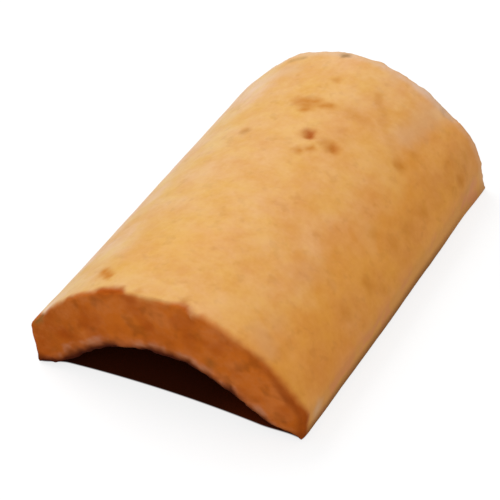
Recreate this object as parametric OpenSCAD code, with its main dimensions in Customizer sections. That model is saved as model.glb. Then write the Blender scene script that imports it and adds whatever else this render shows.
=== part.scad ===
// Thick-walled barrel roof tile of fired clay, pressed over a former and wire cut at both ends.
// X runs across the tile, Y along it and Z up. The origin is on the floor, under the middle of the crown.

/* [Tile] */
// Length along the barrel
length = 200; // [60:1:450]
// Width across the two shoulders, where the back meets the side faces
width = 136; // [100:1:300]
// Height of the crown above the floor
height = 57; // [46:1:80]

/* [Wall] */
// Thickness of the clay at the crown
crown_wall = 30; // [10:0.5:45]
// Width of each foot on the floor
foot_width = 10.5; // [6:0.5:30]

/* [Long edges] */
// Height of the trimmed side faces
edge_height = 16; // [8:0.5:26]
// How far each side face leans in between its shoulder and the floor
edge_lean = 2.5; // [0:0.1:6]
// Radius where the back rolls over into a side face
shoulder_radius = 6; // [1:0.5:12]
// Radius between a side face and its foot
heel_radius = 1.5; // [1:0.5:6]
// Radius between a foot and the arch
toe_radius = 2; // [0.5:0.5:6]

/* [Cut ends] */
// Radius worn on the arrises of the two cut ends
arris_radius = 2; // [0.5:0.5:4]

/* [Hidden] */
$fn = 96;

clay_colour = [0.82, 0.55, 0.29];

// How far each rounding stands proud of the faces it joins, so that it crosses them and doesn't just touch
lap = 0.01;

// Where the side faces and the arch meet the floor
heel_x = width / 2 - edge_lean;
toe_x = heel_x - foot_width;

// The back is an arc through both shoulders and the crown, and the arch one through both toes.
function arc_radius(half_chord, rise) = (half_chord * half_chord + rise * rise) / (2 * rise);
back_radius = arc_radius(width / 2, height - edge_height);
back_axis = [0, height - back_radius];
arch_rise = height - crown_wall;
arch_radius = arc_radius(toe_x, arch_rise);
arch_axis = [0, arch_rise - arch_radius];

// Unit directions in the section: up a right-hand side face, out of it, and down
lean = atan2(edge_lean, edge_height);
side_up = [sin(lean), cos(lean)];
side_out = [cos(lean), -sin(lean)];
down = [0, -1];

function unit(v) = v / norm(v);

// A point a distance in from the right-hand side face and a distance up along it from the floor
function beside_face(inset, along) = [heel_x, 0] + along * side_up - inset * side_out;

// Centres of the long edges' radii, each inside the clay and tangent to both of its faces
shoulder_start = beside_face(shoulder_radius, 0) - back_axis;
shoulder_along = -shoulder_start * side_up
    + sqrt(pow(shoulder_start * side_up, 2) - shoulder_start * shoulder_start
        + pow(back_radius - shoulder_radius, 2));
shoulder = beside_face(shoulder_radius, shoulder_along);
heel = beside_face(heel_radius, heel_radius * (1 - sin(lean)) / cos(lean));
toe = [sqrt(pow(arch_radius + toe_radius, 2) - pow(toe_radius - arch_axis.y, 2)), toe_radius];

// What is pared off a corner to leave a radius about a centre, between two directions away from it
module corner_waste(centre, from, to, radius) {
    reach = 2 * radius;
    difference() {
        polygon([centre, centre + reach * from, centre + reach * (from + to), centre + reach * to]);
        translate(centre) circle(r = radius + lap);
    }
}

module right_corner_wastes() {
    corner_waste(shoulder, unit(shoulder - back_axis), side_out, shoulder_radius);
    corner_waste(heel, side_out, down, heel_radius);
    corner_waste(toe, down, unit(arch_axis - toe), toe_radius);
}

// What is given, and its mirror image on the tile's other side or at its other end
module on_both_sides() {
    children();
    mirror([1, 0, 0]) children();
}

module at_both_ends() {
    children();
    mirror([0, 1, 0]) children();
}

// The tile's section, with the floor along the X axis
module section() {
    top = 2 * height;
    face_top = beside_face(0, top / cos(lean));
    difference() {
        intersection() {
            translate(back_axis) circle(r = back_radius);
            polygon([[-heel_x, 0], [heel_x, 0], face_top, [-face_top.x, face_top.y]]);
        }
        translate(arch_axis) circle(r = arch_radius);
        on_both_sides() right_corner_wastes();
    }
}

// Waste of an arris at the end at positive y. In plan, the face stands at a distance along X and its clay
// lies on one side of it.
module arris_profile(face, clay_side) {
    centre = [face + clay_side * arris_radius, length / 2 - arris_radius];
    corner_waste(centre, [-clay_side, 0], [0, 1], arris_radius);
}

// The arris along an arc about an axis that runs along the tile: half a turn, over the top
module round_arris(axis, radius, clay_side) {
    translate([axis.x, 0, axis.y]) rotate([-90, 0, 0])
        rotate_extrude(start = 180, angle = 180) arris_profile(radius, clay_side);
}

// The arris up the right-hand side face
module side_arris() {
    run = 2 * height;
    translate([heel_x, 0, 0]) rotate([0, lean, 0]) linear_extrude(run, center = true) arris_profile(0, -1);
}

// The arris along the underside of both feet
module foot_arris() {
    rotate([0, 90, 0]) linear_extrude(2 * width, center = true) arris_profile(0, -1);
}

// The arrises are eased one kind after another, so that each cut works on whole faces.
module ease_curves() {
    difference() {
        children();
        at_both_ends() {
            round_arris(back_axis, back_radius, -1);
            round_arris(arch_axis, arch_radius, 1);
        }
    }
}

module ease_sides() {
    difference() {
        children();
        at_both_ends() on_both_sides() side_arris();
    }
}

module ease_feet() {
    difference() {
        children();
        at_both_ends() foot_arris();
    }
}

module tile() {
    color(clay_colour) ease_feet() ease_sides() ease_curves()
        rotate([90, 0, 0]) linear_extrude(length, center = true) section();
}

tile();
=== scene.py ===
"""Looks of a short clay barrel roof tile: hand-smoothed back, rough cut ends, sanded underside.

The skin is swept from the section of the CAD solid, then warped, worn, pitted and chipped. Lengths are in
metres, but for the camera's sensor and lens, which are in millimetres.
"""

import math
from collections import namedtuple

import bmesh
import bpy
import numpy as np
from mathutils import Matrix, Vector, noise
from mathutils.bvhtree import BVHTree


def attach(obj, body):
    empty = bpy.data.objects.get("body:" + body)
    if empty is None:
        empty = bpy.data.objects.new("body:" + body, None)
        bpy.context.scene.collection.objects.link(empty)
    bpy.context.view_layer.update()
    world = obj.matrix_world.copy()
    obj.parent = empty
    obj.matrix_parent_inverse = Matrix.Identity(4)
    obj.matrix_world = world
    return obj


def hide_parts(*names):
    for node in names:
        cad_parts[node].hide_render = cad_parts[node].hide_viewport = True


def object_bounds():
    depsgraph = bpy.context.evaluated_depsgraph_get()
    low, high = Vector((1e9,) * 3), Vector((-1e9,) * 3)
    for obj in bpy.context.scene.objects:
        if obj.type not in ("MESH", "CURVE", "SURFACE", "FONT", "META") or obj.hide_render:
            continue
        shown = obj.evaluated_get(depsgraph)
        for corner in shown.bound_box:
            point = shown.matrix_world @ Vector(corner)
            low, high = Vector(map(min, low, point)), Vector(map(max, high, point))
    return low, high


MM = 0.001

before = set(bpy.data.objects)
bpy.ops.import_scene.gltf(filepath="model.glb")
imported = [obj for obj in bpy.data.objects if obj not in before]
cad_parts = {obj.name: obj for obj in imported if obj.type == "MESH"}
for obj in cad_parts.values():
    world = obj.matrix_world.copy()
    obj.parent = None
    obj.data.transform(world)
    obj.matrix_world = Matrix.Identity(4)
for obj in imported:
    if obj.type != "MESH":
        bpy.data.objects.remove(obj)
cad_low, cad_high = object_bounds()
half_width, half_length, crown_height = cad_high
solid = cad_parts["tile"].data


# Camera, fitted to the outline in the photograph

IMAGE_SIZE = 500
SENSOR = 36.0
VIEW_AZIMUTH = math.radians(28.8)
VIEW_ELEVATION = math.radians(38.28)
VIEW_ROLL = math.radians(-2.31)
VIEW_DISTANCE = 1.0197
LENS = 156.9
# How far the picture's centre lies to the right of the origin and above it
FRAME_SHIFT = (-9.63 * MM, 8.83 * MM)


def make_camera():
    """Sets the camera at the photograph's viewing angle, and returns its place and its axes."""
    back = Vector((
        math.sin(VIEW_AZIMUTH) * math.cos(VIEW_ELEVATION),
        -math.cos(VIEW_AZIMUTH) * math.cos(VIEW_ELEVATION),
        math.sin(VIEW_ELEVATION),
    ))
    level_right = Vector((math.cos(VIEW_AZIMUTH), math.sin(VIEW_AZIMUTH), 0))
    level_up = back.cross(level_right)
    right = level_right * math.cos(VIEW_ROLL) + level_up * math.sin(VIEW_ROLL)
    up = back.cross(right)
    data = bpy.data.cameras.new("camera")
    data.sensor_width = SENSOR
    data.lens = LENS
    camera = bpy.data.objects.new("camera", data)
    axes = Matrix((right, up, back)).transposed()
    camera.matrix_world = axes.to_4x4()
    camera.location = right * FRAME_SHIFT[0] + up * FRAME_SHIFT[1] + back * VIEW_DISTANCE
    bpy.context.scene.collection.objects.link(camera)
    bpy.context.scene.camera = camera
    return camera.location.copy(), axes


camera_place, camera_axes = make_camera()


# Section of the tile

# Steps over the back and along the arch, and across each foot
ROUND_STEPS = 180
FOOT_STEPS = 16
# Clay this near the floor belongs to a foot
FOOT_LIFT = 0.5 * MM
# How finely the solid's outline is followed, and how far it is blurred
OUTLINE_STEP = 0.2 * MM
OUTLINE_SOFTENING = 0.8 * MM
WELD_DISTANCE = 0.01 * MM


def solid_outline():
    """The solid's outline half way along, as a loop of (x, z) that climbs its left side first."""
    cut = bmesh.new()
    cut.from_mesh(solid)
    bmesh.ops.remove_doubles(cut, verts=cut.verts, dist=WELD_DISTANCE)
    bmesh.ops.bisect_plane(
        cut, geom=cut.verts[:] + cut.edges[:] + cut.faces[:], plane_co=(0, 0, 0), plane_no=(0, 1, 0),
        clear_inner=True, clear_outer=True,
    )
    first = min(cut.verts, key=lambda v: v.co.x)
    edge = max(first.link_edges, key=lambda e: e.other_vert(first).co.z)
    loop = [first]
    here = edge.other_vert(first)
    while here is not first:
        loop.append(here)
        edge = next(e for e in here.link_edges if e is not edge)
        here = edge.other_vert(here)
    points = np.array([(v.co.x, v.co.z) for v in loop])
    cut.free()
    return points


def along(points, steps):
    """That many equal steps along an open line of points, with both ends."""
    travelled = np.concatenate([[0], np.cumsum(np.linalg.norm(np.diff(points, axis=0), axis=1))])
    stops = np.linspace(0, travelled[-1], steps + 1)
    return np.stack([np.interp(stops, travelled, points[:, a]) for a in range(points.shape[1])], axis=1)


def softened(loop, width):
    """A closed loop of evenly spaced points, blurred along itself."""
    waves = np.fft.fftfreq(len(loop), d=OUTLINE_STEP)
    keep = np.exp(-2 * (math.pi * waves * width) ** 2)
    return np.real(np.fft.ifft(np.fft.fft(loop, axis=0) * keep[:, None], axis=0))


def section_loop():
    """The section as a loop of (x, z): over the back from heel to heel, a foot, the arch and the other foot."""
    outline = solid_outline()
    closed = np.vstack([outline, outline[:1]])
    perimeter = np.linalg.norm(np.diff(closed, axis=0), axis=1).sum()
    fine = softened(along(closed, int(perimeter / OUTLINE_STEP))[:-1], OUTLINE_SOFTENING)
    feet = np.flatnonzero(fine[:, 1] < FOOT_LIFT)
    left = feet[fine[feet, 0] < 0]
    right = feet[fine[feet, 0] > 0]
    left_heel = left[np.argmin(fine[left, 0])]
    fine = np.roll(fine, -left_heel, axis=0)
    right = (right - left_heel) % len(fine)
    left = (left - left_heel) % len(fine)
    right_heel = right[np.argmax(fine[right, 0])]
    right_toe = right[np.argmin(fine[right, 0])]
    left_toe = left[np.argmax(fine[left, 0])]
    fine = np.vstack([fine, fine[:1]])
    stretches = [
        along(fine[: right_heel + 1], ROUND_STEPS),
        along(fine[right_heel : right_toe + 1], FOOT_STEPS),
        along(fine[right_toe : left_toe + 1], ROUND_STEPS),
        along(fine[left_toe:], FOOT_STEPS),
    ]
    return np.vstack([s[:-1] for s in stretches])


section = section_loop()
# Unit directions along the section and into the clay
heading = np.roll(section, -1, axis=0) - np.roll(section, 1, axis=0)
heading /= np.linalg.norm(heading, axis=1)[:, None]
inward = np.stack([heading[:, 1], -heading[:, 0]], axis=1)
loop_size = len(section)


# Skin: rings of the section along the tile, rolled over at both arrises, and a ruled cap on each end

# Radius of the arrises at both ends, half the length of its arc, and its steps
ARRIS = 2.0 * MM
HALF_ARC = ARRIS * math.pi / 4
ARRIS_STEPS = 8
RING_STEP = 1.05 * MM
# Stands for the distance to an arris on the wall's other side
FAR = 1.0
# How much of the section's own rounding an arris may take up, so that it doesn't fold over
ARRIS_ROOM = 0.4


def arris_shares():
    """How much of the arris each point of the section takes: less at the heels and toes, where it turns
    tightly."""
    before = np.roll(heading, 1, axis=0)
    after = np.roll(heading, -1, axis=0)
    run = np.linalg.norm(np.roll(section, -1, axis=0) - np.roll(section, 1, axis=0), axis=1)
    bend = (before[:, 1] * after[:, 0] - before[:, 0] * after[:, 1]) / run
    shares = 1 / np.maximum(1, ARRIS * bend / ARRIS_ROOM)
    near = np.minimum(shares, np.minimum(np.roll(shares, 1), np.roll(shares, -1)))
    return (np.roll(near, 1) + 2 * near + np.roll(near, -1)) / 4


def ring_places():
    """For each ring from front to back: y, how far it is drawn in, how far it faces the end, and how far it
    lies past the middle of the arris towards the cut face."""
    turns = np.linspace(math.pi / 2, 0, ARRIS_STEPS + 1)
    straight = half_length - ARRIS
    front = [
        (-straight - ARRIS * math.sin(t), ARRIS * (1 - math.cos(t)), -math.sin(t), ARRIS * (t - math.pi / 4))
        for t in turns
    ]
    middle = [
        (y, 0.0, 0.0, -HALF_ARC - straight + abs(y))
        for y in np.linspace(-straight, straight, int(2 * straight / RING_STEP))[1:-1]
    ]
    back = [(-y, inset, -facing, past) for y, inset, facing, past in reversed(front)]
    return front + middle + back


class Skin:
    """The clay's surface: points, the way each faces, how far each lies past the outer and inner arris, its
    depth through the wall from the back to the arch, from 0 to 1, and its height before the warps."""

    def __init__(self):
        rings = ring_places()
        shape = (len(rings), loop_size)
        y, inset, facing, past = (np.array(c)[:, None] for c in zip(*rings))
        drawn_in = inset * arris_shares()
        x = section[:, 0] + drawn_in * inward[:, 0]
        z = section[:, 1] + drawn_in * inward[:, 1]
        self.points = np.stack([x, np.broadcast_to(y, shape), z], axis=2).reshape(-1, 3)
        level = np.sqrt(1 - facing**2)
        self.facing = np.stack(
            [-inward[:, 0] * level, np.broadcast_to(facing, shape), -inward[:, 1] * level], axis=2
        ).reshape(-1, 3)
        below = np.arange(loop_size) > ROUND_STEPS
        self.under = np.broadcast_to(below, shape).reshape(-1).astype(float)
        foot = np.arange(FOOT_STEPS) / FOOT_STEPS
        columns = np.concatenate([np.zeros(ROUND_STEPS), foot, np.ones(ROUND_STEPS), 1 - foot])
        self.depth = np.broadcast_to(columns, shape).reshape(-1)
        self.past_outer = np.where(below, FAR, past).reshape(-1)
        self.past_inner = np.where(below, past, FAR).reshape(-1)
        self.faces = []
        self.roll(len(rings))
        self.cap(0, -1)
        self.cap((len(rings) - 1) * loop_size, 1)
        self.height = self.points[:, 2].copy()

    def roll(self, rings):
        """Joins each ring to the next."""
        for ring in range(rings - 1):
            for column in range(loop_size):
                a = ring * loop_size + column
                b = ring * loop_size + (column + 1) % loop_size
                self.faces.append((a, b, b + loop_size, a + loop_size))

    def cap(self, start, side):
        """Fills the ring that begins at a point: side -1 is the front end and 1 the back one."""
        arch_end = 2 * ROUND_STEPS + FOOT_STEPS
        steps = ROUND_STEPS + 1
        depth = FOOT_STEPS + 1
        index = np.zeros((steps, depth), int)
        index[:, 0] = start + np.arange(steps)
        index[:, -1] = start + arch_end - np.arange(steps)
        index[0, :] = start + (loop_size - np.arange(depth)) % loop_size
        index[-1, :] = start + ROUND_STEPS + np.arange(depth)
        across = np.linspace(0, 1, steps)[:, None, None]
        down = np.linspace(0, 1, depth)[None, :, None]
        edge = self.points[index]
        ruled = edge[:, :1] * (1 - down) + edge[:, -1:] * down
        sides = (edge[:1] - ruled[:1]) * (1 - across) + (edge[-1:] - ruled[-1:]) * across
        inner = (ruled + sides)[1:-1, 1:-1].reshape(-1, 3)
        index[1:-1, 1:-1] = len(self.points) + np.arange(len(inner)).reshape(steps - 2, depth - 2)
        wall = np.linalg.norm(edge[:, -1] - edge[:, 0], axis=1)[1:-1, None]
        share = down[0, 1:-1, 0]
        self.points = np.vstack([self.points, inner])
        self.facing = np.vstack([self.facing, np.tile((0, side, 0), (len(inner), 1))])
        self.under = np.concatenate([self.under, np.zeros(len(inner))])
        self.depth = np.concatenate([self.depth, np.tile(share, steps - 2)])
        self.past_outer = np.concatenate([self.past_outer, (HALF_ARC + wall * share).reshape(-1)])
        self.past_inner = np.concatenate([self.past_inner, (HALF_ARC + wall * (1 - share)).reshape(-1)])
        quads = np.stack([index[:-1, :-1], index[1:, :-1], index[1:, 1:], index[:-1, 1:]], axis=2)
        self.faces.extend(map(tuple, quads.reshape(-1, 4)))


skin = Skin()


# Warps of the hand-made piece. Pairs say where a warp sets in and where it is full: ALONG in shares of half the
# length, ACROSS and HEIGHTS in metres.

# How far the crown of each end stands out, and how far it dips at the front and rises at the back
END_ALONG = (0.2, 1)
FRONT_BOW = 0.9 * MM
BACK_BOW = 2.4 * MM
FRONT_DIP = 0.6 * MM
BACK_RISE = 2.0 * MM
# Where the crown lies across the tile at its ends
CROWN_OFFSET = -8 * MM
# How far the back right shoulder is drawn in, and at what height, and how far it swells above that
SHOULDER_ALONG = (0.5, 1)
SHOULDER_ACROSS = (0.5 * half_width, 0.9 * half_width)
SHOULDER_PINCH = 2.6 * MM
PINCH_HEIGHT = 14 * MM
PINCH_SPREAD = 11 * MM
SHOULDER_SWELL = 1.2 * MM
SWELL_HEIGHT = 31 * MM
SWELL_SPREAD = 6 * MM
# How far the right heel stands out, how much further along the tile's back half, and at its back corner
HEEL_ACROSS = (0.7 * half_width, 0.9 * half_width)
HEEL_OUT = 0.4 * MM
HEEL_FLARE = 0.75 * MM
FLARE_ALONG = (-1, 0)
HEEL_CORNER = 1.25 * MM
CORNER_ALONG = (0.65, 1)
# How far the back end's left haunch is drawn in, how far it swells and where, and how far the right one drops
HAUNCH_HEIGHTS = (0.3 * crown_height, 0.6 * crown_height)
LEFT_DRAW = 2.0 * MM
DRAW_ACROSS = (0.1 * half_width, 0.6 * half_width)
HAUNCH_SWELL = 1.5 * MM
HAUNCH_PLACE = -35 * MM
HAUNCH_SPREAD = 8 * MM
RIGHT_DROP = 1.1 * MM
DROP_ACROSS = (0, 0.4 * half_width)
DROP_END_ACROSS = (0.6 * half_width, 0.8 * half_width)
# How far the front left heel is drawn in, about a line at that height, so that the shoulder stands out
LEAN_ALONG = (0.4, 1)
LEAN_ACROSS = (0.75 * half_width, 0.9 * half_width)
LEFT_LEAN = 1.4 * MM
LEAN_HEIGHT = 9 * MM
LEAN_END_HEIGHTS = (18 * MM, 28 * MM)
# How far the front cut runs out at the left foot and back at the right one, and how high a foot reaches
TWIST_ALONG = (0.75, 1)
LEFT_TWIST = 3.2 * MM
RIGHT_TWIST = 1.2 * MM
FOOT_HEIGHT = 14 * MM
# How far the arch sags at the front, all over and more at both sides, and how far both front toes are worn up
MOUTH_ALONG = (0.5, 1)
ARCH_SAG = 1.7 * MM
LEFT_SAG = 1.6 * MM
LEFT_SAG_ACROSS = (26 * MM, 44 * MM)
RIGHT_SAG = 2.4 * MM
RIGHT_SAG_ACROSS = (12 * MM, 34 * MM)
TOE_ALONG = (0.8, 1)
TOE_WEAR = 3.0 * MM
TOE_HEIGHTS = (0, 8 * MM)
# How far clay squeezed out at the front fills the corner between the left toe and the floor, and where
TOE_FILL = 1.3 * MM
TOE_FILL_PLACE = -53.5 * MM
TOE_FILL_SPREAD = 3 * MM


def ramp(values, start, stop):
    """0 before the start, 1 from the stop on, and smooth between."""
    share = np.clip((values - start) / (stop - start), 0, 1)
    return share * share * (3 - 2 * share)


def bump(values, middle, spread):
    """1 at the middle, and smoothly down to 0 over about twice the spread on both sides."""
    return np.exp(-(((values - middle) / spread) ** 2))


def warp(points, depth):
    """The points of the plain tile, bent step by step to the one in the photograph."""
    x, y, z = points.T.copy()
    place = y / half_length
    front = ramp(-place, *END_ALONG)
    back = ramp(place, *END_ALONG)
    crown = np.clip(1 - ((x - CROWN_OFFSET) / half_width) ** 2, 0, 1)
    y += crown * (BACK_BOW * back - FRONT_BOW * front)
    z *= 1 + crown * (BACK_RISE * back - FRONT_DIP * front) / crown_height
    shoulder = ramp(x, *SHOULDER_ACROSS) * ramp(place, *SHOULDER_ALONG)
    pinch = SHOULDER_PINCH * bump(z, PINCH_HEIGHT, PINCH_SPREAD)
    x -= shoulder * (pinch - SHOULDER_SWELL * bump(z, SWELL_HEIGHT, SWELL_SPREAD))
    foot = np.clip(1 - z / FOOT_HEIGHT, 0, 1)
    heel = HEEL_OUT + HEEL_FLARE * ramp(place, *FLARE_ALONG) + HEEL_CORNER * ramp(place, *CORNER_ALONG)
    x += heel * foot * ramp(x, *HEEL_ACROSS)
    haunch = back * ramp(z, *HAUNCH_HEIGHTS)
    z += HAUNCH_SWELL * haunch * bump(x, HAUNCH_PLACE, HAUNCH_SPREAD)
    x += LEFT_DRAW * haunch * ramp(-x, *DRAW_ACROSS)
    z -= RIGHT_DROP * haunch * ramp(x, *DROP_ACROSS) * (1 - ramp(x, *DROP_END_ACROSS))
    left = ramp(-x, *LEAN_ACROSS) * ramp(-place, *LEAN_ALONG) * (1 - ramp(z, *LEAN_END_HEIGHTS))
    x += LEFT_LEAN * left * np.clip(1 - z / LEAN_HEIGHT, -1, 1)
    y += np.where(x < 0, LEFT_TWIST, RIGHT_TWIST) * x / half_width * foot * ramp(-place, *TWIST_ALONG)
    mouth = depth * ramp(-place, *MOUTH_ALONG)
    sag = ARCH_SAG + LEFT_SAG * ramp(-x, *LEFT_SAG_ACROSS) + RIGHT_SAG * ramp(x, *RIGHT_SAG_ACROSS)
    z -= mouth * sag * ramp(z, *TOE_HEIGHTS)
    z += mouth * TOE_WEAR * (1 - ramp(z, *TOE_HEIGHTS)) * ramp(-place, *TOE_ALONG)
    z -= mouth * TOE_FILL * bump(x, TOE_FILL_PLACE, TOE_FILL_SPREAD)
    z = np.maximum(z, 0)
    return np.stack([x, y, z], axis=1)


skin.points = warp(skin.points, skin.depth)
skin_tree = BVHTree.FromPolygons([Vector(p) for p in skin.points], skin.faces)


def seen_at(pixel):
    """The point of the tile that shows at a pixel of the photograph."""
    scale = SENSOR / LENS / IMAGE_SIZE
    across = (pixel[0] - IMAGE_SIZE / 2) * scale
    upward = (IMAGE_SIZE / 2 - pixel[1]) * scale
    point, _, _, _ = skin_tree.ray_cast(camera_place, camera_axes @ Vector((across, upward, -1)))
    if point is None:
        raise ValueError(f"no clay shows at {pixel}")
    return np.array(point)


# Wear. Pairs are as for the warps, but ALONG is in metres too, and FADE is from where to where something ends.

# A layer of noise: its height, grain size and seed, how many finer layers it has, how it is stretched, and what is
# added where its peaks chip the clay
Grain = namedtuple("Grain", "height size seed octaves stretch bias", defaults=(2, (1, 1, 1), 0.0))
SEED_STEP = np.array((7.3, 3.1, 5.7))
FRACTAL_FALL = 1.0
FRACTAL_STEP = 2.0
# Unevenness all over, strokes of a hand on the back, drag marks beneath, and the torn clay of the cut faces
SWELLS = Grain(0.30 * MM, 38 * MM, 1)
DENTS = Grain(0.10 * MM, 11 * MM, 2)
STROKES = Grain(0.03 * MM, 2.2 * MM, 3, stretch=(1, 14, 1))
DRAGS = Grain(0.12 * MM, 4 * MM, 8, stretch=(1, 8, 1))
TEARS = Grain(0.28 * MM, 9 * MM, 4, octaves=3)
CRUMBS = Grain(0.14 * MM, 2.6 * MM, 5)
# How rough the underside is, beside a cut face
UNDER_ROUGHNESS = 0.4
# Clay lost from every arris, from the inner ones, and from those at the back, and how wide the arrises are worn
NICKS = Grain(0.9 * MM, 6 * MM, 6, bias=0.1)
INNER_NICKS = Grain(1.2 * MM, 5 * MM, 9)
BACK_NICKS = Grain(1.3 * MM, 7 * MM, 7, octaves=1, bias=0.2)
BACK_CRUMBS = Grain(0.9 * MM, 2.8 * MM, 13, octaves=1)
ARRIS_WORN = 2.4 * MM
INNER_ARRIS_WORN = 3 * MM
# Wear levels off towards this depth, short of the arris's own radius
DEEPEST_WEAR = 1.8 * MM

# Pixels along the line where the back's smooth skin ends, at the front arris: chipped back in one place, and
# torn down beside it
SKIN_END = [
    (45, 313), (55, 304), (63, 301), (71, 295), (80, 292), (96, 291), (101, 288), (120, 288), (126, 293),
    (139, 298), (150, 300), (169, 302), (181, 304), (187, 306), (191, 316), (202, 316), (211, 322), (222, 328),
    (236, 340), (246, 348), (264, 360), (284, 382), (291, 389), (296, 397),
]
# How far past the arris the skin ends at the back, and how much sooner it ends low down at the left and right
BACK_SKIN_END = 2.0 * MM
LEFT_BARE = 6.0 * MM
LEFT_BARE_HEIGHTS = (20 * MM, 28 * MM)
RIGHT_BARE = 2.0 * MM
RIGHT_BARE_HEIGHTS = (14 * MM, 24 * MM)
# How ragged and how soft the line is, how much softer at the right, and the same for a face's line along the arch
SKIN_RAGGED = Grain(0.5 * MM, 4 * MM, 10)
SKIN_SOFTNESS = 1.9 * MM
RIGHT_SOFTNESS = 0.9 * MM
RIGHT_SOFT_ACROSS = (0, 20 * MM)
ARCH_RAGGED = Grain(0.5 * MM, 4 * MM, 11)
ARCH_SOFTNESS = 1.2 * MM

# Pixels along the ragged line where painted shade on the front cut face begins above the arch
ARCH_END = [
    (66, 356), (80, 351), (92, 347), (111, 343), (124, 347), (148, 348), (161, 351), (178, 357), (190, 362),
    (200, 369), (211, 376), (221, 384), (231, 387), (239, 398), (250, 407), (261, 416),
]
# How far up a face the painted shade may run, how far it runs at the hidden back end, how ragged it is, how it
# fades up the face and in under the arch, and where the dust above it lies
ARCH_END_DEEPEST = 6 * MM
ARCH_END_HIDDEN = 2.8 * MM
DARK_RAGGED = Grain(0.8 * MM, 4 * MM, 12)
DARK_FADE = (-2 * MM, 2.6 * MM)
UNDER_ARCH_FADE = (2 * MM, 9 * MM)
DUST_PLACE = 1.6 * MM
DUST_FADE = (0.5 * MM, 2.5 * MM)
# How high painted contact shade runs up a face's feet, and how wide the paler rim above the arch is
FOOT_SHADE_HEIGHTS = (2 * MM, 7 * MM)
RIM_WIDTH = 8 * MM
# Where the band of painted shade under the skin's end lies, its core and its width, and how it shifts and widens
# at the right
LIP_PLACE = 2.0 * MM
LIP_SHIFT = 1.5 * MM
LIP_CORE = 0.8 * MM
LIP_WIDTH = 4.6 * MM
LIP_WIDENING = 2.4 * MM
LIP_RIGHT_ACROSS = (50 * MM, 62 * MM)
# Where the side faces begin, how high their own colour, painted lighter to stand in for light, and the painted
# contact shade at their heels run, and how much of that shade is gone towards the back
SIDE_ACROSS = (0.85 * half_width, 0.93 * half_width)
SIDE_HEIGHTS = (10 * MM, 22 * MM)
HEEL_SHADE_HEIGHTS = (1.8 * MM, 9 * MM)
HEEL_SHADE_THINNING = 0.65
HEEL_SHADE_THINNING_ALONG = (30 * MM, 80 * MM)
# Where the pale rim of the back end lies, a painted highlight, and how much of it is gone at the right
BACK_RIM_PLACE = -1.5 * MM
BACK_RIM_FADE = (1 * MM, 6 * MM)
BACK_RIM_THINNING = 0.55
BACK_RIM_THINNING_ACROSS = (42 * MM, 50 * MM)
# How strong the painted highlight along the left edge of the back is, and where it lies
LEFT_RIM_HIGHLIGHT = 0.7
LEFT_RIM_ACROSS = (-62 * MM, -50 * MM)
LEFT_RIM_HEIGHTS = (14 * MM, 20 * MM)

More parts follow.
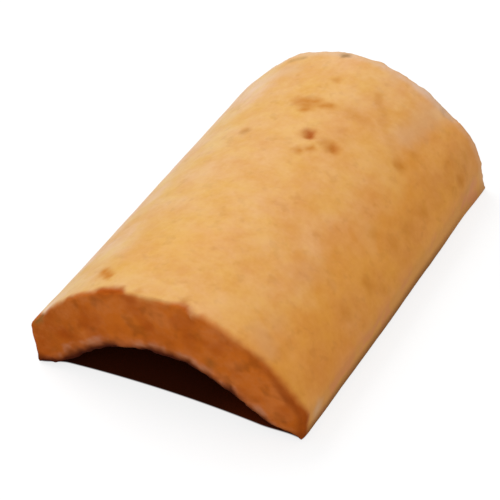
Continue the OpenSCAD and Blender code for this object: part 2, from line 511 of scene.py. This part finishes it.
# Marks by kind: the pixels of the photograph that a mark runs through, its radius in millimetres, how strong its
# colour is and how many millimetres deep it is
MARKS = {
    # Stains and shallow pits
    "pit": [
        ([(299, 101), (315, 101)], 5.6, 0.75, 0.4),
        ([(303, 104), (310, 104)], 5.6, 0.7, 0.2),
        ([(306, 108)], 5.6, 0.75, 0.2),
        ([(322, 105), (331, 106)], 4.4, 0.7, 0.3),
        ([(309, 134)], 7.0, 0.7, 0.2),
        ([(324, 141), (332, 146)], 5.0, 0.6, 0.4),
        ([(332, 147)], 7.0, 0.8, 0.5),
        ([(299, 150)], 5.0, 0.7, 0.4),
        ([(310, 148)], 4.6, 0.75, 0.2),
        ([(338, 80)], 3.8, 0.5, 0.4),
        ([(246, 130)], 4.0, 0.5, 0),
        ([(343, 131)], 4.4, 0.5, 0.2),
        ([(350, 113), (362, 119)], 7.0, 0.35, 0.1),
        ([(362, 119), (371, 125)], 5.0, 0.25, 0.1),
        ([(378, 95), (379, 104)], 4.0, 0.45, 0.1),
        ([(381, 106), (384, 125)], 4.0, 0.3, 0.1),
        ([(384, 125), (392, 150)], 5.0, 0.2, 0.0),
        ([(400, 166)], 5.6, 0.65, 0.3),
        ([(416, 156)], 4.6, 0.4, 0.2),
        ([(461, 181)], 5.0, 0.7, 0.3),
        ([(466, 157)], 5.0, 0.35, 0.2),
        ([(104, 271), (109, 275)], 4.2, 0.8, 0.3),
        ([(138, 291)], 3.6, 0.45, 0.3),
        ([(270, 337)], 3.6, 0.45, 0.2),
        ([(284, 352)], 5.5, 0.25, 0.1),
        ([(374, 234)], 7.0, 0.4, 0.1),
        ([(394, 243)], 6.0, 0.35, 0.1),
        ([(318, 236)], 6.0, 0.3, 0.1),
        ([(367, 284), (370, 288)], 5.0, 0.4, 0.1),
        ([(382, 289)], 5.0, 0.35, 0.1),
        ([(346, 313)], 6.0, 0.45, 0.1),
        ([(425, 212)], 6.0, 0.45, 0.1),
        ([(408, 228)], 8.0, 0.35, 0.1),
        ([(342, 139)], 8, 0.25, 0),
    ],
    # Deep pits and dark clay on the cut face
    "core": [
        ([(310, 132), (310, 135)], 4.2, 0.85, 1.0),
        ([(334, 148)], 5.2, 0.35, 0.2),
        ([(99, 290), (120, 290)], 4.2, 0.8, 0.3),
        ([(131, 302)], 4.4, 0.4, 0.3),
        ([(184, 304), (190, 312)], 4.0, 0.45, 0.2),
        ([(86, 318), (84, 325)], 4.8, 0.5, 0.4),
        ([(64, 334)], 5.4, 0.8, 0.5),
        ([(148, 328)], 5.4, 0.75, 0.3),
        ([(118, 330)], 5.4, 0.3, 0.2),
        ([(156, 335), (172, 342)], 7.0, 0.35, 0.2),
        ([(189, 341), (190, 348)], 7.0, 0.45, 0.2),
        ([(209, 364)], 5.0, 0.4, 0.3),
        ([(236, 374)], 5.6, 0.3, 0.2),
        ([(42, 342), (46, 356)], 8.0, 0.4, 0),
    ],
    # Mossy specks and chips, most of them along the arrises
    "moss": [
        ([(246, 131)], 4.0, 0.25, 0.3),
        ([(209, 364)], 4.6, 0.35, 0),
        ([(35, 322), (41, 317)], 2.8, 0.7, 1.2),
        ([(343, 55), (348, 55)], 3.2, 0.7, 0.5),
        ([(291, 61), (303, 58)], 3.2, 0.3, 0.2),
    ],
    # Chalky patches, and the chip in the far right shoulder
    "chalk": [
        ([(448, 112), (453, 116)], 4.6, 0.5, 1.7),
        ([(440, 110), (406, 138)], 10, 0.27, 0),
        ([(258, 330), (270, 350)], 8, 0.2, 0),
        ([(291, 70), (262, 82)], 9, 0.45, 0),
        ([(300, 276), (316, 268)], 10, 0.12, 0),
        ([(278, 322)], 9, 0.14, 0),
        ([(394, 77)], 6, 0.25, 0),
        ([(164, 187), (152, 199)], 8, 0.6, 0),
        ([(318, 408)], 7, 0.5, 0),
    ],
    # Richer clay
    "rich": [
        ([(130, 262), (168, 248), (205, 238)], 22, 0.85, 0),
        ([(150, 266)], 11, 0.95, 0),
        ([(345, 345), (320, 375)], 18, 0.5, 0),
    ],
    # Paler clay
    "pale_clay_and_highlight": [
        ([(404, 98), (402, 132), (428, 158)], 20, 0.7, 0),
        ([(388, 77), (402, 86), (428, 108), (442, 132)], 13, 0.9, 0),
        ([(345, 64)], 14, 0.3, 0),
        ([(252, 90), (256, 102)], 16, 0.5, 0),
        ([(342, 236), (314, 264), (300, 284)], 19, 0.8, 0),
        ([(282, 205), (256, 256)], 19, 0.15, 0),
        ([(222, 338), (250, 344)], 12, 0.35, 0),
        ([(398, 106), (414, 120)], 16, 0.9, 0),
        ([(268, 330), (285, 342)], 10, 0.35, 0),
        ([(46, 320), (54, 324)], 8, 0.4, 0),
        ([(428, 118), (446, 126), (462, 148), (470, 174)], 18, 0.8, 0),
        ([(424, 128), (436, 142)], 17, 1.0, 0),
        ([(414, 171)], 10, 0.6, 0),
        ([(370, 194)], 10, 0.6, 0),
        ([(333, 231), (332, 246)], 10, 0.9, 0),
        ([(354, 326)], 9, 0.6, 0),
        ([(129, 318)], 7, 0.8, 0),
        ([(91, 299)], 6, 0.7, 0),
        ([(181, 310)], 6, 0.9, 0),
        ([(372, 190), (350, 238), (345, 280)], 18, 0.35, 0),
        ([(285, 185), (312, 190)], 14, 0.3, 0),
    ],
}
# Where a mark ends in shares of its radius, and how far its outline strays, over what distance and by which seed
MARK_END = 1.05
MARK_RAGGED = 1.3 * MM
MARK_GRAIN = 3.5 * MM
MARK_SEED = 2


def pattern(points, grain):
    """Smooth noise, from about -1 to 1."""
    scaled = points / (grain.size * np.array(grain.stretch)) + grain.seed * SEED_STEP
    if grain.octaves == 1:
        return np.array([noise.noise(p) for p in scaled])
    return np.array([noise.fractal(p, FRACTAL_FALL, FRACTAL_STEP, grain.octaves) for p in scaled])


def relief(points, grain):
    """How far a layer of noise lifts each point."""
    return grain.height * pattern(points, grain)


def chips(points, grain):
    """How deep the peaks of a layer of noise chip each point."""
    return grain.height * np.clip(pattern(points, grain) + grain.bias, 0, 1)


def distance_to(points, line):
    """Distance from each point to a line of one or more points."""
    best = np.linalg.norm(points - line[0], axis=1)
    for a, b in zip(line[:-1], line[1:]):
        run = b - a
        share = np.clip((points - a) @ run / (run @ run), 0, 1)
        best = np.minimum(best, np.linalg.norm(points - a - share[:, None] * run, axis=1))
    return best


def across_tile(skin, pixels, past):
    """How far past an arris a line of pixels runs, at each point across."""
    nearest = [np.argmin(np.linalg.norm(skin.points - seen_at(p), axis=1)) for p in pixels]
    return np.interp(skin.points[:, 0], skin.points[nearest, 0], past[nearest])


def hollow(points, pixels, radius):
    """How deep each point lies in a hollow along a line of pixels: 1 in its middle, 0 outside."""
    line = np.array([seen_at(p) for p in pixels])
    return 1 - ramp(distance_to(points, line) / radius, 0, MARK_END)


def cut_faces(skin):
    """How far each point belongs to a cut face, and how far past the outer arris the skin ends there."""
    x, y, z = skin.points.T
    skin_end = relief(skin.points, SKIN_RAGGED) + across_tile(skin, SKIN_END, skin.past_outer) * (y < 0)
    left_bare = (x < 0) * (1 - ramp(z, *LEFT_BARE_HEIGHTS))
    right_bare = (x > 0) * (y < 0) * (1 - ramp(z, *RIGHT_BARE_HEIGHTS))
    skin_end += BACK_SKIN_END * (y > 0) - LEFT_BARE * left_bare - RIGHT_BARE * right_bare
    softness = SKIN_SOFTNESS + RIGHT_SOFTNESS * ramp(x, *RIGHT_SOFT_ACROSS)
    face = ramp((skin.past_outer - skin_end) / softness, -1, 1)
    face *= ramp(skin.past_inner + relief(skin.points, ARCH_RAGGED), -ARCH_SOFTNESS, ARCH_SOFTNESS)
    return face, skin_end


def uneven(skin, face):
    """How far the clay's unevenness lifts each point, less what its arrises have lost."""
    points = skin.points
    rough = np.maximum(face, UNDER_ROUGHNESS * skin.under)
    lift = relief(points, SWELLS)
    lift += relief(points, DENTS)
    lift += (1 - rough) * relief(points, STROKES)
    lift += skin.under * relief(points, DRAGS)
    lift += rough * (relief(points, TEARS) + relief(points, CRUMBS))
    inner = np.abs(skin.past_inner)
    arris = 1 - ramp(np.minimum(np.abs(skin.past_outer), inner), 0, ARRIS_WORN)
    at_back = arris * (points[:, 1] > 0)
    lift -= arris * chips(points, NICKS)
    lift -= (1 - ramp(inner, 0, INNER_ARRIS_WORN)) * chips(points, INNER_NICKS)
    lift -= at_back * chips(points, BACK_NICKS)
    lift -= at_back * chips(points, BACK_CRUMBS)
    return lift


def place_masks(skin, face, skin_end):
    """The masks that follow from a point's place on the tile, by name."""
    x, y, z = skin.points.T
    # The lip: a band of painted shade on the cut face under the skin's end
    right_end = ramp(x, *LIP_RIGHT_ACROSS)
    lip_middle = skin_end + LIP_PLACE + LIP_SHIFT * right_end
    lip_end = LIP_WIDTH + LIP_WIDENING * right_end
    # Where painted shade above the arch's edge begins on the cut faces
    arch_end = np.clip(across_tile(skin, ARCH_END, skin.past_inner), 0, ARCH_END_DEEPEST)
    arch_end = np.where(y < 0, arch_end, ARCH_END_HIDDEN)
    above_dark = skin.past_inner - arch_end + relief(skin.points, DARK_RAGGED)
    near_end = 1 - ramp(-skin.past_inner, *UNDER_ARCH_FADE)
    outside = skin.past_outer < 0
    beside = outside * ramp(np.abs(x), *SIDE_ACROSS)
    # Painted contact shade along the heels of the side faces, less towards the back
    heel_shade = (1 - ramp(z, *HEEL_SHADE_HEIGHTS)) * (1 - HEEL_SHADE_THINNING * ramp(y, *HEEL_SHADE_THINNING_ALONG))
    # Painted highlight along the back end's rim
    back_rim_highlight = (y > 0) * (1 - ramp(np.abs(skin.past_outer - BACK_RIM_PLACE), *BACK_RIM_FADE))
    # Painted highlight along the left edge of the back
    left_rim_highlight = outside * (1 - ramp(x, *LEFT_RIM_ACROSS)) * ramp(z, *LEFT_RIM_HEIGHTS)
    return {
        "face": face,
        "under": skin.under,
        "rim": (1 - ramp(skin.past_inner, 0, RIM_WIDTH)) * face,
        # Painted shade in the band under the skin's end
        "lip_shade": 1 - ramp(np.abs(skin.past_outer - lip_middle), LIP_CORE, lip_end),
        "dust": 1 - ramp(np.abs(above_dark - DUST_PLACE), *DUST_FADE),
        # Painted shade on the cut faces above the arch's edge
        "arch_shade": near_end * (1 - ramp(above_dark, *DARK_FADE)),
        # Painted contact shade low on the cut faces and the underside, near the floor
        "foot_shade": near_end * np.maximum(face, skin.under) * (1 - ramp(skin.height, *FOOT_SHADE_HEIGHTS)),
        "side": beside * (1 - ramp(z, *SIDE_HEIGHTS)),
        # Painted contact shade along the heels
        "heel": beside * heel_shade,
        # Painted highlight along the back end's rim
        "back_rim_highlight": back_rim_highlight * (1 - BACK_RIM_THINNING * ramp(x, *BACK_RIM_THINNING_ACROSS)),
        # Paler clay marks, and the painted highlight along the left edge of the back
        "pale_clay_and_highlight": LEFT_RIM_HIGHLIGHT * left_rim_highlight,
    }


def wear(skin):
    """Weathers the skin and returns its masks by name."""
    points = skin.points
    face, skin_end = cut_faces(skin)
    masks = place_masks(skin, face, skin_end)
    lift = uneven(skin, face)
    noise.seed_set(MARK_SEED)
    ragged = points + MARK_RAGGED * np.array([noise.noise_vector(p) for p in points / MARK_GRAIN])
    for kind, marks in MARKS.items():
        for pixels, radius, strength, depth in marks:
            share = hollow(ragged, pixels, radius * MM)
            lift -= depth * MM * share
            masks[kind] = np.maximum(masks.get(kind, 0), strength * share)
    lift = np.where(lift < 0, DEEPEST_WEAR * np.tanh(lift / DEEPEST_WEAR), lift)
    skin.points = points + skin.facing * lift[:, None]
    skin.points[:, 2] = np.maximum(skin.points[:, 2], 0)
    return masks


masks = wear(skin)


def make_tile():
    """The skin as the one piece that stands for the solid."""
    mesh = bpy.data.meshes.new("tile_skin")
    mesh.from_pydata(skin.points.tolist(), [], skin.faces)
    for name, values in masks.items():
        mesh.attributes.new(name, "FLOAT", "POINT").data.foreach_set("value", values.astype(np.float32))
    turned = bmesh.new()
    turned.from_mesh(mesh)
    bmesh.ops.recalc_face_normals(turned, faces=turned.faces)
    turned.to_mesh(mesh)
    turned.free()
    mesh.shade_smooth()
    tile = bpy.data.objects.new("clay_tile", mesh)
    bpy.context.scene.collection.objects.link(tile)
    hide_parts("tile")
    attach(tile, "root")
    return tile


tile = make_tile()


# Materials

def paint(*shown):
    """A colour as it shows on screen, from 0 to 255, taken off the sRGB curve to the renderer's own scale."""
    return tuple(((c / 255 + 0.055) / 1.055) ** 2.4 if c > 10 else c / 255 / 12.92 for c in shown) + (1,)


class Nodes:
    """Short calls for a material's nodes."""

    def __init__(self, tree):
        self.tree = tree
        tree.nodes.clear()

    def add(self, kind, inputs=(), **settings):
        node = self.tree.nodes.new(kind)
        for name, value in settings.items():
            setattr(node, name, value)
        for name, value in dict(inputs).items():
            self.set(node.inputs[name], value)
        return node

    def set(self, socket, value):
        if isinstance(value, bpy.types.NodeSocket):
            self.tree.links.new(value, socket)
        else:
            socket.default_value = value

    def place(self):
        return self.add("ShaderNodeTexCoord").outputs["Object"]

    def split(self, vector):
        return self.add("ShaderNodeSeparateXYZ", {"Vector": vector}).outputs

    def moved(self, vector, by, operation):
        return self.add("ShaderNodeVectorMath", {0: vector, 1: by}, operation=operation).outputs[0]

    def noise(self, vector, size, detail, rough):
        inputs = {"Vector": vector, "Scale": 1 / size, "Detail": detail, "Roughness": rough}
        return self.add("ShaderNodeTexNoise", inputs).outputs["Fac"]

    def span(self, value, low, high, to_low=0.0, to_high=1.0):
        """A span of values, smoothly turned into another."""
        inputs = {"Value": value, "From Min": low, "From Max": high, "To Min": to_low, "To Max": to_high}
        return self.add("ShaderNodeMapRange", inputs, interpolation_type="SMOOTHSTEP").outputs["Result"]

    def tones(self, value, stops):
        """A colour by value, from stops of place and colour."""
        node = self.add("ShaderNodeValToRGB", {"Fac": value})
        elements = node.color_ramp.elements
        while len(elements) < len(stops):
            elements.new(0.5)
        for element, (place, colour) in zip(elements, stops):
            element.position = place
            element.color = colour
        return node.outputs["Color"]

    def math(self, operation, a, b=0.0):
        return self.add("ShaderNodeMath", {0: a, 1: b}, operation=operation).outputs[0]

    def times(self, a, b):
        return self.math("MULTIPLY", a, b)

    def mix(self, share, a, b, blend="MIX"):
        """A colour with a share of another laid over it."""
        node = self.add("ShaderNodeMix", data_type="RGBA", blend_type=blend)
        for name, value in (("Factor_Float", share), ("A_Color", a), ("B_Color", b)):
            self.set(next(s for s in node.inputs if s.identifier == name), value)
        return next(s for s in node.outputs if s.identifier == "Result_Color")

    def attribute(self, name):
        return self.add("ShaderNodeAttribute", attribute_name=name).outputs["Fac"]

    def choose(self, share, a, b):
        """A surface that is the first or the second one, by a share."""
        return self.add("ShaderNodeMixShader", {0: share, 1: a.outputs[0], 2: b.outputs[0]})


# The fired skin of the back from left to right, by place across the width: its own colour, with painted light
# making the left flank pale and painted shade deepening the right
SKIN_TONES_AND_PAINTED_LIGHT = [
    (0.10, paint(219, 180, 131)),
    (0.28, paint(223, 174, 110)),
    (0.50, paint(228, 174, 106)),
    (0.75, paint(229, 165, 90)),
    (0.88, paint(226, 151, 66)),
    (0.98, paint(222, 149, 71)),
]
# How far patches shift those tones
TONE_WAVER = 0.25
# What the clay's colour is multiplied by, in patches, marks and flecks; the paler one also gives the painted
# highlight along the left edge of the back
LIGHTER = (1.06, 1.13, 1.26, 1)
DEEPER = (0.94, 0.87, 0.74, 1)
YELLOWER = (1.0, 1.01, 0.82, 1)
PINKER = (1.0, 0.98, 1.18, 1)
RICH = (0.98, 0.89, 0.71, 1)
PALE_AND_HIGHLIGHT = (1.05, 1.15, 1.6, 1)
FLECK = (0.94, 0.93, 0.92, 1)
# Colours of the back
PIT = paint(196, 120, 36)
# The side faces' own tone, painted lighter to stand in for light on them
SIDE_TONE_PAINTED_LIGHTER = paint(228, 166, 96)
BLUSH = paint(222, 142, 98)
# Chalky marks, and the painted highlight along the back end's rim
CHALK_AND_HIGHLIGHT = paint(223, 187, 153)
# Painted contact shade at the heels
HEEL_SHADE = paint(112, 66, 36)
MOSS = paint(128, 94, 44)
# Colours of the cut faces
# Painted shade: the cut faces darker towards the left
CORE_LEFT_SHADED = paint(176, 88, 24)
CORE = paint(200, 104, 28)
CORE_PALE = paint(204, 116, 54)
CORE_DARK = paint(168, 74, 13)
CORE_BROWN = paint(146, 74, 18)
CORE_TONES = [(0.0, CORE_LEFT_SHADED), (0.3, CORE), (1.0, CORE)]
RIM = paint(184, 100, 60)
# Painted shade in the band under the skin's end
LIP_SHADE = paint(150, 66, 11)
DUST = paint(200, 146, 116)
# Painted contact shade low on the feet
FOOT_SHADE = paint(92, 36, 12)
# Painted shade on the cut faces above the arch's edge
ARCH_SHADE = paint(70, 24, 8)
# Colours of the underside
SANDED = paint(190, 124, 74)
SAND = paint(222, 184, 142)
DRAG = paint(158, 96, 56)

# Patterns in the clay: the size of each one's grain, how many finer layers it has and how strong they are
PATCH_PATTERN = (24 * MM, 2, 0.5)
TONE_PATTERN = (24 * MM, 4, 0.78)
CLOUD_PATTERN = (15 * MM, 2, 0.6)
HUE_PATTERN = (26 * MM, 4, 0.76)
BLOTCH_PATTERN = (10 * MM, 2, 0.6)
FLECK_PATTERN = (7 * MM, 2, 0.6)
GRAIN_PATTERN = (1.1 * MM, 4, 0.6)
DRAG_PATTERN = (6 * MM, 3, 0.6)
SAND_PATTERN = (2 * MM, 3, 0.7)
# Keeps the hues apart from the tones, and draws the drag marks out along the tile
HUE_SHIFT = (0.31, 0.17, 0.23)
DRAG_STRETCH = (1, 0.2, 1)

# Spans of a pattern, or of the place across the width from 0 to 1, and how strong a colour is at both ends of each
TONE_SPAN = (0.25, 0.75)
HUE_ACROSS = (0.2, 0.9, 1.0, 0.8)
TONE_ACROSS = (0.1, 0.4, 0.7, 1.0)
FLECK_SPAN = (0.56, 0.7)
GRAIN_SPAN = (0.55, 0.85, 0.0, 0.06)
BLUSH_SPAN = (0.46, 0.62, 0.0, 0.55)
BACK_RIM_SPAN = (0.35, 0.65, 0.8, 0.4)
PIT_SPAN = (0.3, 0.7, 0.7, 1.2)
CORE_PALE_SPAN = (0.42, 0.62, 0.0, 0.7)
CORE_DARK_SPAN = (0.45, 0.68, 0.0, 0.48)
CORE_BROWN_SPAN = (0.5, 0.72, 0.0, 0.5)
LIP_ACROSS = (0.74, 0.98, 0.1, 0.8)
DUST_SPAN = (0.35, 0.6, 0.45, 0.0)
FOOT_SHADE_ACROSS = (0.9, 0.98, 0.9, 0.4)
DRAG_SPAN = (0.45, 0.7, 0.0, 0.5)
SAND_SPAN = (0.54, 0.66, 0.0, 0.6)
# Strengths that are the same all over
SIDE_STRENGTH = 0.6
HEEL_SHADE_STRENGTH = 0.7
RIM_STRENGTH = 0.6
# The matte surface: how rough it is over a span of its tones, its shine, and the relief of its grain
ROUGHNESS_SPAN = (0.3, 0.7, 0.84, 0.95)
SHINE = 0.05
BUMP_STRENGTH = 0.12
BUMP_DISTANCE = 0.3 * MM


def sanded_clay(n, place, tones):
    """Colour of the underside, which kept the sand of the former and its drag marks along the tile."""
    drag = n.noise(n.moved(place, DRAG_STRETCH, "MULTIPLY"), *DRAG_PATTERN)
    sand = n.noise(place, *SAND_PATTERN)
    colour = n.mix(1.0, SANDED, tones, "MULTIPLY")
    colour = n.mix(n.span(drag, *DRAG_SPAN), colour, DRAG)
    return n.mix(n.span(sand, *SAND_SPAN), colour, SAND)


def fired_clay():
    """The clay's material: smooth skin, sanded underside, torn cut faces, then marks, painted shade and painted
    highlights over all of them.
    """
    material = bpy.data.materials.new("fired_clay")
    material.use_nodes = True
    n = Nodes(material.node_tree)
    place = n.place()
    share = n.math("DIVIDE", n.math("ADD", n.split(place)["X"], half_width), 2 * half_width)
    patches = n.noise(place, *PATCH_PATTERN)
    tone = n.noise(place, *TONE_PATTERN)
    cloud = n.noise(place, *CLOUD_PATTERN)
    hue = n.noise(n.moved(place, HUE_SHIFT, "ADD"), *HUE_PATTERN)
    blotch = n.noise(place, *BLOTCH_PATTERN)
    fleck = n.noise(place, *FLECK_PATTERN)
    grain = n.noise(place, *GRAIN_PATTERN)
    hues = n.mix(n.span(hue, *TONE_SPAN), PINKER, YELLOWER)
    tones = n.mix(n.span(tone, *TONE_SPAN), LIGHTER, DEEPER)

    wavering = n.math("ADD", share, n.times(n.math("SUBTRACT", patches, 0.5), TONE_WAVER))
    # Painted light and shade across the back, over the skin's own tones
    colour = n.tones(wavering, SKIN_TONES_AND_PAINTED_LIGHT)
    colour = n.mix(n.span(share, *HUE_ACROSS), colour, hues, "MULTIPLY")
    colour = n.mix(n.span(share, *TONE_ACROSS), colour, tones, "MULTIPLY")
    colour = n.mix(n.span(fleck, *FLECK_SPAN), colour, FLECK, "MULTIPLY")
    colour = n.mix(n.span(grain, *GRAIN_SPAN), colour, PIT)
    # Side faces: their own tone, painted lighter to stand in for light
    colour = n.mix(n.times(n.attribute("side"), SIDE_STRENGTH), colour, SIDE_TONE_PAINTED_LIGHTER)
    colour = n.mix(n.times(n.attribute("side"), n.span(cloud, *BLUSH_SPAN)), colour, BLUSH)
    # Painted highlight along the back end's rim
    colour = n.mix(n.times(n.attribute("back_rim_highlight"), n.span(tone, *BACK_RIM_SPAN)), colour, CHALK_AND_HIGHLIGHT)
    # Painted contact shade at the heels
    colour = n.mix(n.times(n.attribute("heel"), HEEL_SHADE_STRENGTH), colour, HEEL_SHADE)
    colour = n.mix(n.attribute("under"), colour, sanded_clay(n, place, tones))
    colour = n.mix(n.times(n.attribute("pit"), n.span(hue, *PIT_SPAN)), colour, PIT)

    # Cut faces, with painted shade towards the left
    cut = n.tones(share, CORE_TONES)
    cut = n.mix(n.span(hue, *CORE_PALE_SPAN), cut, CORE_PALE)
    cut = n.mix(n.span(cloud, *CORE_DARK_SPAN), cut, CORE_DARK)
    cut = n.mix(n.span(blotch, *CORE_BROWN_SPAN), cut, CORE_BROWN)
    cut = n.mix(n.times(n.attribute("rim"), RIM_STRENGTH), cut, RIM)
    # Painted shade in the band under the skin's end
    cut = n.mix(n.times(n.attribute("lip_shade"), n.span(share, *LIP_ACROSS)), cut, LIP_SHADE)
    cut = n.mix(n.times(n.attribute("dust"), n.span(blotch, *DUST_SPAN)), cut, DUST)

    colour = n.mix(n.attribute("face"), colour, cut)
    colour = n.mix(n.attribute("core"), colour, CORE_DARK)
    colour = n.mix(n.attribute("rich"), colour, RICH, "MULTIPLY")
    # Paler clay marks, and the painted highlight along the left edge of the back
    colour = n.mix(n.attribute("pale_clay_and_highlight"), colour, PALE_AND_HIGHLIGHT, "MULTIPLY")
    # Painted contact shade low on the feet
    colour = n.mix(n.times(n.attribute("foot_shade"), n.span(share, *FOOT_SHADE_ACROSS)), colour, FOOT_SHADE)
    # Painted shade above the arch's edge
    colour = n.mix(n.attribute("arch_shade"), colour, ARCH_SHADE)
    colour = n.mix(n.attribute("moss"), colour, MOSS)
    colour = n.mix(n.attribute("chalk"), colour, CHALK_AND_HIGHLIGHT)

    bumps = {"Strength": BUMP_STRENGTH, "Distance": BUMP_DISTANCE, "Height": grain}
    shader = n.add("ShaderNodeBsdfPrincipled", {
        "Base Color": colour,
        "Roughness": n.span(tone, *ROUGHNESS_SPAN),
        "Specular IOR Level": SHINE,
        "Normal": n.add("ShaderNodeBump", bumps).outputs["Normal"],
    })
    n.add("ShaderNodeOutputMaterial", {"Surface": shader.outputs["BSDF"]})
    return material


tile.data.materials.append(fired_clay())


# Stage

WHITE = (1, 1, 1, 1)
# Light that reaches the tile from all round, beside the white that the camera sees
WORLD_STRENGTH = 0.55
# Each lamp: its name, its direction from the tile, its distance, size and power
LAMPS = [
    ("key", (-0.62, 0.25, 0.74), 1.2, 0.8, 8.0),
    ("fill", (0.45, -0.7, 0.55), 1.4, 1.0, 5.5),
]
FLOOR_SIZE = 6.0
# How far the floor lies below the tile's feet
FLOOR_DROP = 0.05 * MM
# What the floor throws back at the tile, what shows of it where light falls, and how it glows to show white
FLOOR_BOUNCE = (0.6, 0.59, 0.58, 1)
FLOOR_LIT = (0.3, 0.3, 0.3, 1)
FLOOR_GLOW = 0.75
# Colours of the deep shade under the arch, and where the second takes over, in shares of half the tile's width
FLOOR_SHADE = paint(57, 22, 8)
FLOOR_SHADE_RIGHT = paint(86, 32, 10)
SHADE_RIGHT_SPAN = (0.2, 0.7)
# How far the shade stays back from the middle of each end, how much further it runs under the left foot at the
# front and how much less under the right one, and where across the tile, in shares of half its width
SHADE_INSET = 4.2 * MM
SHADE_LEFT = 3 * MM
SHADE_LEFT_ACROSS = (-0.75, -0.95)
SHADE_FRONT = (-MM, MM)
SHADE_RIGHT = 1.7 * MM
SHADE_RIGHT_ACROSS = (0.65, 0.9)
# How soft the shade's ends are, and how far in from the side faces it ends under the feet
SHADE_SOFTNESS = 1 * MM
SHADE_SIDES = (6 * MM, 4 * MM)


def seen_rays(n):
    """1 for the rays that show the background to the camera, straight or by way of a reflection."""
    paths = n.add("ShaderNodeLightPath").outputs
    mirrored = n.math("MAXIMUM", paths["Is Glossy Ray"], paths["Is Transmission Ray"])
    return n.math("MAXIMUM", paths["Is Camera Ray"], mirrored)


def deep_shade(n):
    """How far a point of the floor lies in the shade under the arch, and the colour there."""
    place = n.split(n.place())
    across = n.math("DIVIDE", place["X"], half_width)
    middle = n.math("SUBTRACT", 1.0, n.times(across, across))
    left = n.times(n.span(across, *SHADE_LEFT_ACROSS, 0.0, SHADE_LEFT), n.span(place["Y"], *SHADE_FRONT, 1.0, 0.0))
    right = n.span(across, *SHADE_RIGHT_ACROSS, 0.0, SHADE_RIGHT)
    bay = n.math("SUBTRACT", n.math("ADD", n.times(middle, SHADE_INSET), right), left)
    reach = n.math("ADD", n.math("ABSOLUTE", place["Y"]), bay)
    inside = n.span(reach, half_length - SHADE_SOFTNESS, half_length, 1.0, 0.0)
    sides = (half_width - inset for inset in SHADE_SIDES)
    between = n.span(n.math("ABSOLUTE", place["X"]), *sides, 1.0, 0.0)
    return n.times(inside, between), n.mix(n.span(across, *SHADE_RIGHT_SPAN), FLOOR_SHADE, FLOOR_SHADE_RIGHT)


def make_floor():
    """White paper that shows no shadow but the deep shade under the arch."""
    mesh = bpy.data.meshes.new("floor")
    h = FLOOR_SIZE / 2
    mesh.from_pydata([(-h, -h, 0), (h, -h, 0), (h, h, 0), (-h, h, 0)], [], [(0, 1, 2, 3)])
    floor = bpy.data.objects.new("floor", mesh)
    floor.location.z = -FLOOR_DROP
    bpy.context.scene.collection.objects.link(floor)
    material = bpy.data.materials.new("floor_paper")
    material.use_nodes = True
    n = Nodes(material.node_tree)
    shade, shade_colour = deep_shade(n)
    bounce = n.add("ShaderNodeBsdfDiffuse", {"Color": FLOOR_BOUNCE})
    lit = n.add("ShaderNodeBsdfDiffuse", {"Color": FLOOR_LIT})
    glow = n.add("ShaderNodeEmission", {"Strength": FLOOR_GLOW})
    shown = n.add("ShaderNodeAddShader", {0: lit.outputs[0], 1: glow.outputs[0]})
    dark = n.add("ShaderNodeBsdfDiffuse", {"Color": shade_colour})
    surface = n.choose(shade, n.choose(seen_rays(n), bounce, shown), dark)
    n.add("ShaderNodeOutputMaterial", {"Surface": surface.outputs[0]})
    mesh.materials.append(material)


def make_world():
    """White all round: full for the camera, weaker as light on the tile."""
    world = bpy.data.worlds.new("studio")
    world.use_nodes = True
    n = Nodes(world.node_tree)
    ambient = n.add("ShaderNodeBackground", {"Color": WHITE, "Strength": WORLD_STRENGTH})
    backdrop = n.add("ShaderNodeBackground", {"Color": WHITE, "Strength": 1.0})
    n.add("ShaderNodeOutputWorld", {"Surface": n.choose(seen_rays(n), ambient, backdrop).outputs[0]})
    bpy.context.scene.world = world


def make_lamp(name, direction, distance, size, power):
    """A square soft lamp that shines at the tile from a direction."""
    data = bpy.data.lights.new(name, "AREA")
    data.size = size
    data.energy = power
    lamp = bpy.data.objects.new(name, data)
    away = Vector(direction).normalized()
    lamp.location = away * distance + Vector((0, 0, crown_height / 2))
    lamp.rotation_euler = away.to_track_quat("Z", "Y").to_euler()
    bpy.context.scene.collection.objects.link(lamp)


make_floor()
make_world()
for lamp in LAMPS:
    make_lamp(*lamp)

bpy.context.scene.view_settings.view_transform = "Standard"
